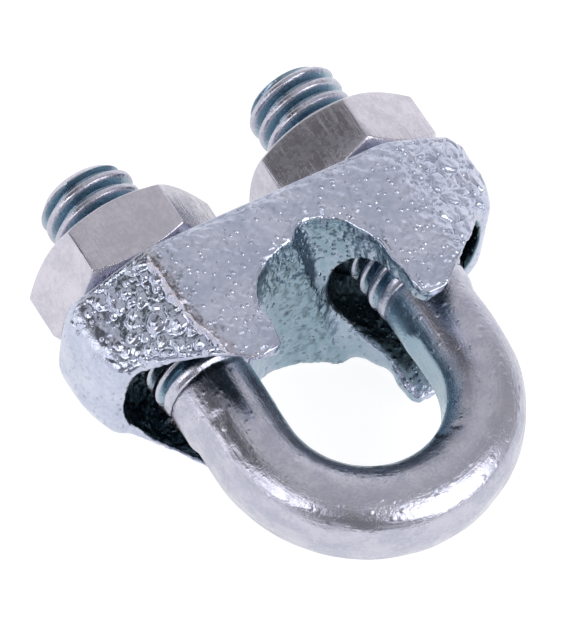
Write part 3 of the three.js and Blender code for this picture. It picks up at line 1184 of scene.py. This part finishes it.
            # Painted shade: in the rope seat, darker in its folds; in the pockets; and in the crevices
            # between drops and in the cracks.
            shade = 0.34 + 0.1 * ridge + 0.3 * folded * self.wrinkle_shade.at(wrinkles)
            crevice_shade = zones.left_bevel * (1 - foam) + 0.5 * cracked
            vert[recess] = max(in_seat * shade, zones.pocket, 0.2 * crevice_shade)
            vert[gloss] = max(zones.left_bevel, 0.9 * zones.ends, 0.6 * in_seat, zones.rim)
            vert[stain] = self.stain_share(point, normal, zones)
        for vert, move in zip(bm.verts, moves):
            vert.co += move


@dataclass
class Saddle:
    """The cast saddle: a plate with a rope seat between two skirted pockets."""

    placed: Placed
    rope_seat: RopeSeat = field(default_factory=RopeSeat)
    mould_warp: Warp = field(default_factory=Warp)
    leg_x: float = LEG_X
    seat: float = 8.0
    lobe_tip: float = 0.75
    depth: float = 9.0
    end_x: float = 9.25
    face_x: float = 5.15
    bevel_slope: float = 29.5
    end_corner: float = 1.0
    tuck: tuple[float, float] = (0.7, 2.8)
    tuck_steps: int = 4
    lobe_radius: float = 1.0
    skirt_slope: float = 42.0
    end_wall: float = 3.9
    plate: float = 2.0
    skirt_wall: float = 0.6
    pocket_draft: float = 0.85
    fillet: float = 0.4
    bore_radius: float = 2.25
    top_corner: float = 0.6
    overrun: float = 1.0
    voxel: float = 0.13
    smoothing: int = 28
    fine_from: float = 0.7
    fine_reach: float = 0.6
    fine_front: float = 1.2
    crease: float = 180

    def plan_block(self) -> BMesh:
        """The saddle as it looks along its legs: flat faces, bevelled corners and round ends."""
        half = self.depth / 2
        nose_z = half - (self.end_x - self.face_x) * math.tan(math.radians(self.bevel_slope))
        right = [(self.face_x, half), (self.end_x, nose_z), (self.end_x, -nose_z), (self.face_x, -half)]
        outline = right + [(-x, -z) for x, z in right]
        bm = prism(outline, self.seat - self.lobe_tip)
        for z in (nose_z, -nose_z):
            round_corner(bm, self.end_x, z, self.end_corner, 8)
        turn_verts(bm, bm.verts, -math.pi / 2, "X")
        bmesh.ops.translate(bm, vec=(0, (self.seat + self.lobe_tip) / 2, 0), verts=bm.verts)
        return bm

    def face_block(self) -> BMesh:
        """The saddle as it looks along the rope, before the rope seat is cut out of it.

        Its two lobes stand further apart at the lower face, as the sides of the rope seat do.
        """
        slope = math.radians(self.skirt_slope)
        inner_x = self.rope_seat.upper[0]
        lobe_y = self.lobe_tip + self.lobe_radius
        tangent = self.lobe_radius / math.tan((math.pi / 2 - slope) / 2)
        corner_y = lobe_y - tangent
        end_y = self.seat - self.end_wall
        skirt_x = inner_x + (end_y - corner_y) / math.tan(slope)
        across, up = self.tuck
        shares = [step / self.tuck_steps for step in range(self.tuck_steps + 1)]
        tuck = [(self.end_x - across * (1 - share) ** 2, end_y + up * share * share) for share in shares]
        right = [(inner_x, lobe_y + self.overrun), (inner_x, corner_y), (skirt_x, end_y)]
        right += tuck + [(self.end_x, self.seat)]
        outline = right + [(-x, y) for x, y in reversed(right)]
        bm = prism(outline, self.depth)
        round_corner(bm, inner_x, corner_y, tangent, 12)
        round_corner(bm, self.end_x, self.seat, self.top_corner, 6)
        spread = self.rope_seat.lower[0] - inner_x
        lobe_width = skirt_x - inner_x - 2 * self.lobe_radius
        for vert in bm.verts:
            in_lobe = clamped((skirt_x - abs(vert.co.x)) / lobe_width)
            low = 0.5 - vert.co.z / self.depth
            if vert.co.y < end_y:
                vert.co.x += math.copysign(spread * low * in_lobe, vert.co.x)
        return bm

    def leg_hollow(self, side: Side) -> BMesh:
        """The pocket round one leg and the leg's hole through the plate."""
        roof = self.seat - self.plate
        mouth_radius = self.depth / 2 - self.skirt_wall
        roof_radius = mouth_radius - self.pocket_draft
        profile = [
            (0, self.lobe_tip - self.overrun), (mouth_radius, self.lobe_tip - self.overrun),
            (mouth_radius, self.lobe_tip), (roof_radius, roof - self.fillet),
            (roof_radius - self.fillet, roof), (self.bore_radius, roof),
            (self.bore_radius, self.seat + self.overrun), (0, self.seat + self.overrun),
        ]
        return turned(profile, side.value * self.leg_x, 72)

    def rough_casting(self) -> bpy.types.Mesh:
        """The saddle's plain shape, with every edge sharp."""
        mesh = mesh_from(self.plan_block(), "saddle")
        mesh = carved(mesh, self.face_block(), Cut.KEEP_SHARED)
        mesh = carved(mesh, self.rope_seat.cutter(self.overrun, self.seat), Cut.REMOVE)
        for side in Side:
            mesh = carved(mesh, self.leg_hollow(side), Cut.REMOVE)
        return mesh

    def even_skin(self) -> BMesh:
        """The casting as an even, dense skin whose edges have run soft."""

        def add_modifiers(blank: bpy.types.Object) -> None:
            """Adds the Remesh modifier."""
            modifier = blank.modifiers.new("skin", "REMESH")
            modifier.mode = "VOXEL"
            modifier.voxel_size = self.voxel

        bm = bmesh.new()
        bm.from_mesh(worked(self.rough_casting(), add_modifiers))
        self.soften(bm, self.smoothing)
        return bm

    def soften(self, bm: BMesh, passes: int) -> None:
        """Evens out the skin, which rounds its edges."""
        for _ in range(passes):
            bmesh.ops.smooth_vert(
                bm, verts=bm.verts, factor=0.5, use_axis_x=True, use_axis_y=True, use_axis_z=True
            )
        bm.normal_update()

    def refine(self, bm: BMesh) -> None:
        """Doubles the skin's detail over the upper face, the bevels and the front of the rope seat."""
        fine = [
            edge
            for edge in bm.edges
            if sum(v.normal.z for v in edge.verts) > self.fine_from or self.in_front_seat(edge.verts[0].co)
        ]
        bmesh.ops.subdivide_edges(bm, edges=fine, cuts=1, use_grid_fill=True)
        self.soften(bm, 2)

    def in_front_seat(self, point: Vector) -> bool:
        """Whether a point is on the half of the rope seat that is near the upper face."""
        away, _ = self.rope_seat.surface_point(point)
        return abs(away) < self.fine_reach and point.z > self.fine_front

    def build(self, centre: Vector, material: bpy.types.Material) -> bpy.types.Object:
        """Makes the saddle and sets it down in the frame."""
        bm = self.even_skin()
        for vert in bm.verts:
            vert.co += self.rope_seat.strand_shift(vert.co)
            self.mould_warp.bend(vert)
        bm.normal_update()
        self.refine(bm)
        CastSkin(self.rope_seat, self.leg_x, self.seat, self.depth / 2).work(bm)
        return self.placed.put_down(mesh_from(bm, "saddle"), centre, material, self.crease)


@dataclass(frozen=True)
class Glow:
    """A round patch of the studio that is lighter or darker than what is round it.

    Its azimuth is measured from +Y towards +X. All the angles are in degrees.
    """

    azimuth: float
    elevation: float
    radius: float
    softness: float
    value: float

    @property
    def direction(self) -> Vector:
        """The direction of its middle."""
        turn, tilt = math.radians(self.azimuth), math.radians(self.elevation)
        return Vector((math.sin(turn) * math.cos(tilt), math.cos(turn) * math.cos(tilt), math.sin(tilt)))


@dataclass(frozen=True)
class Studio:
    """A pale floor, soft light all round and the camera."""

    azimuth: float = -39.34
    elevation: float = 57.8
    roll: float = 10.21
    distance: float = 193.39
    target: tuple[float, float, float] = (-1.144, 4.093, 1.537)
    lens: float = 285.6
    sensor: float = 36.0
    clip: tuple[float, float] = (0.01, 10)
    floor_radius: float = 0.6
    floor_grey: float = 0.3
    floor_roughness: float = 0.9
    floor_glow: float = 0.85
    stops: tuple[tuple[float, float], ...] = (
        (0.0, 0.95), (0.1, 0.8), (0.35, 0.58), (0.7, 0.6), (1.0, 0.6),
    )
    glow_tint: tuple[float, float, float] = (1.0, 0.985, 1.005)
    glows: tuple[Glow, ...] = (
        Glow(66, 4, 40, 18, 1.1), Glow(20, 62, 22, 10, 0.74), Glow(95, 35, 28, 10, 0.52),
        Glow(180, 6, 46, 20, 0.4), Glow(-142, 32, 30, 8, 0.28), Glow(-52, 48, 19, 3, 0.13),
        Glow(-92, 10, 20, 8, 0.95), Glow(-68, 17, 9, 3, 2.0), Glow(-102, 41, 17, 3, 2.6),
        Glow(150, 38, 25, 3, 3.2),
    )

    def set_camera(self, centre: Vector) -> None:
        """Makes the camera and makes it the scene's own."""
        data = bpy.data.cameras.new("camera")
        data.lens = self.lens
        data.sensor_width = self.sensor
        data.clip_start, data.clip_end = self.clip
        camera = put_in_scene("camera", data)
        turn, tilt = math.radians(self.azimuth), math.radians(self.elevation)
        back = Vector((math.sin(turn) * math.cos(tilt), -math.cos(turn) * math.cos(tilt), math.sin(tilt)))
        upright = (-back).to_track_quat("-Z", "Y").to_matrix()
        rotation = upright @ Matrix.Rotation(math.radians(self.roll), 3, "Z")
        place = centre + MM * (Vector(self.target) + self.distance * back)
        camera.matrix_world = Matrix.Translation(place) @ rotation.to_4x4()
        bpy.context.scene.camera = camera

    def lay_floor(self) -> None:
        """Lays the floor under the clip."""
        bm = bmesh.new()
        bmesh.ops.create_circle(bm, cap_ends=True, segments=64, radius=self.floor_radius)
        floor = put_in_scene("floor", mesh_from(bm, "floor"))
        material = bpy.data.materials.new("floor")
        material.use_nodes = True
        graph = Graph(material.node_tree)
        shader = graph.add("ShaderNodeBsdfPrincipled", {
            "Base Color": (self.floor_grey,) * 3 + (1,), "Roughness": self.floor_roughness,
            "Emission Color": (1, 1, 1, 1), "Emission Strength": self.floor_glow,
        })
        graph.add("ShaderNodeOutputMaterial", {"Surface": shader.outputs[0]})
        floor.data.materials.append(material)

    def light(self) -> None:
        """Lights the clip from all round: pale at the horizon, greyer above, with a few glows."""
        world = bpy.data.worlds.new("studio")
        bpy.context.scene.world = world
        world.use_nodes = True
        graph = Graph(world.node_tree)
        direction = graph.add("ShaderNodeTexCoord").outputs["Generated"]
        height = graph.add("ShaderNodeSeparateXYZ", {0: direction}).outputs[2]
        ramp = graph.add("ShaderNodeValToRGB", {0: height})
        elements = ramp.color_ramp.elements
        for place, _ in self.stops[1:-1]:
            elements.new(place)
        for element, (place, value) in zip(elements, self.stops):
            element.position = place
            element.color = (value, value, value, 1)
        colour = ramp.outputs[0]
        for glow in self.glows:
            toward = graph.add(
                "ShaderNodeVectorMath", {0: direction, 1: glow.direction}, operation="DOT_PRODUCT"
            ).outputs["Value"]
            rim, core = (math.cos(math.radians(glow.radius + way * glow.softness)) for way in (1, -1))
            tinted = [glow.value * tint for tint in self.glow_tint]
            colour = graph.blend(graph.range(toward, rim, core), colour, (*tinted, 1))
        back = graph.add("ShaderNodeBackground", {"Color": colour, "Strength": 1.0})
        graph.add("ShaderNodeOutputWorld", {"Surface": back.outputs[0]})
        bpy.context.scene.view_settings.view_transform = "Standard"


# In each finish, hollow is a blue tint with painted shade and deep is the darker painted shade of pockets and
# thread roots.
CAST_ZINC = ZincFinish(
    name="cast_zinc", light=(0.57, 0.60, 0.72, 1), dark=(0.45, 0.49, 0.62, 1), hollow=(0.25, 0.35, 0.42, 1),
    deep=(0.04, 0.065, 0.08, 1), roughness=(0.24, 0.34), mottle_scale=0.8, dot_scale=4.0, dots=0.045,
    grain=0.012, waves=0.03, streaks=0.0,
)
ROD_ZINC = ZincFinish(
    name="rod_zinc", light=(0.54, 0.54, 0.62, 1), dark=(0.43, 0.44, 0.53, 1), hollow=(0.29, 0.40, 0.48, 1),
    deep=(0.24, 0.33, 0.42, 1), roughness=(0.16, 0.26), pattern=Pattern.ALONG_ROD, mottle_scale=1.1,
    dot_scale=3.0, dots=-0.012, grain=0.014, waves=0.02, stretch=(0.08, 1.0, 1.0), streaks=0.014,
)
NUT_ZINC = ZincFinish(
    name="nut_zinc", light=(0.61, 0.59, 0.66, 1), dark=(0.50, 0.49, 0.56, 1), hollow=(0.36, 0.48, 0.56, 1),
    deep=(0.08, 0.12, 0.18, 1), roughness=(0.2, 0.3), mottle_scale=0.8, dots=0.002, grain=0.006,
    waves=0.008, streaks=0.016,
)


NUT_TURNS = {Side.LEFT: 81.5, Side.RIGHT: 61.7}


def bend_centre(u_bolt: UBolt) -> Vector:
    """Where the centre of the U-bolt's bend is in the frame, in metres."""
    low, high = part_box("u_bolt")
    return Vector((
        (low.x + high.x) / 2, low.y + (u_bolt.leg_x + u_bolt.rod_radius) * MM, (low.z + high.z) / 2,
    ))


def main() -> None:
    """Builds the clip and the studio."""
    logging.basicConfig(level=logging.INFO, format="%(name)s: %(message)s")
    noise.seed_set(NOISE_SEED)
    thread = Thread()
    u_bolt = UBolt(Placed("threaded_u_bolt", "u_bolt", "u_bolt", "u_bolt_zinc"), thread)
    centre = bend_centre(u_bolt)
    effects = {kind: kind() for kind in (Mottle, Grain, Marks)}
    nut_zinc = NUT_ZINC.build(effects)
    u_bolt.build(centre, ROD_ZINC.build(effects))
    Saddle(Placed("cast_saddle", "saddle", "saddle", "cast_zinc")).build(centre, CAST_ZINC.build(effects))
    for side, turn in NUT_TURNS.items():
        name = side.name.lower()
        placed = Placed(f"hex_nut_{name}", f"nut_{name}", f"nut_{name}", "nut_zinc")
        HexNut(placed, thread, side, turn).build(centre, nut_zinc)
    studio = Studio()
    studio.set_camera(centre)
    studio.lay_floor()
    studio.light()


if __name__ == "__main__":
    main()
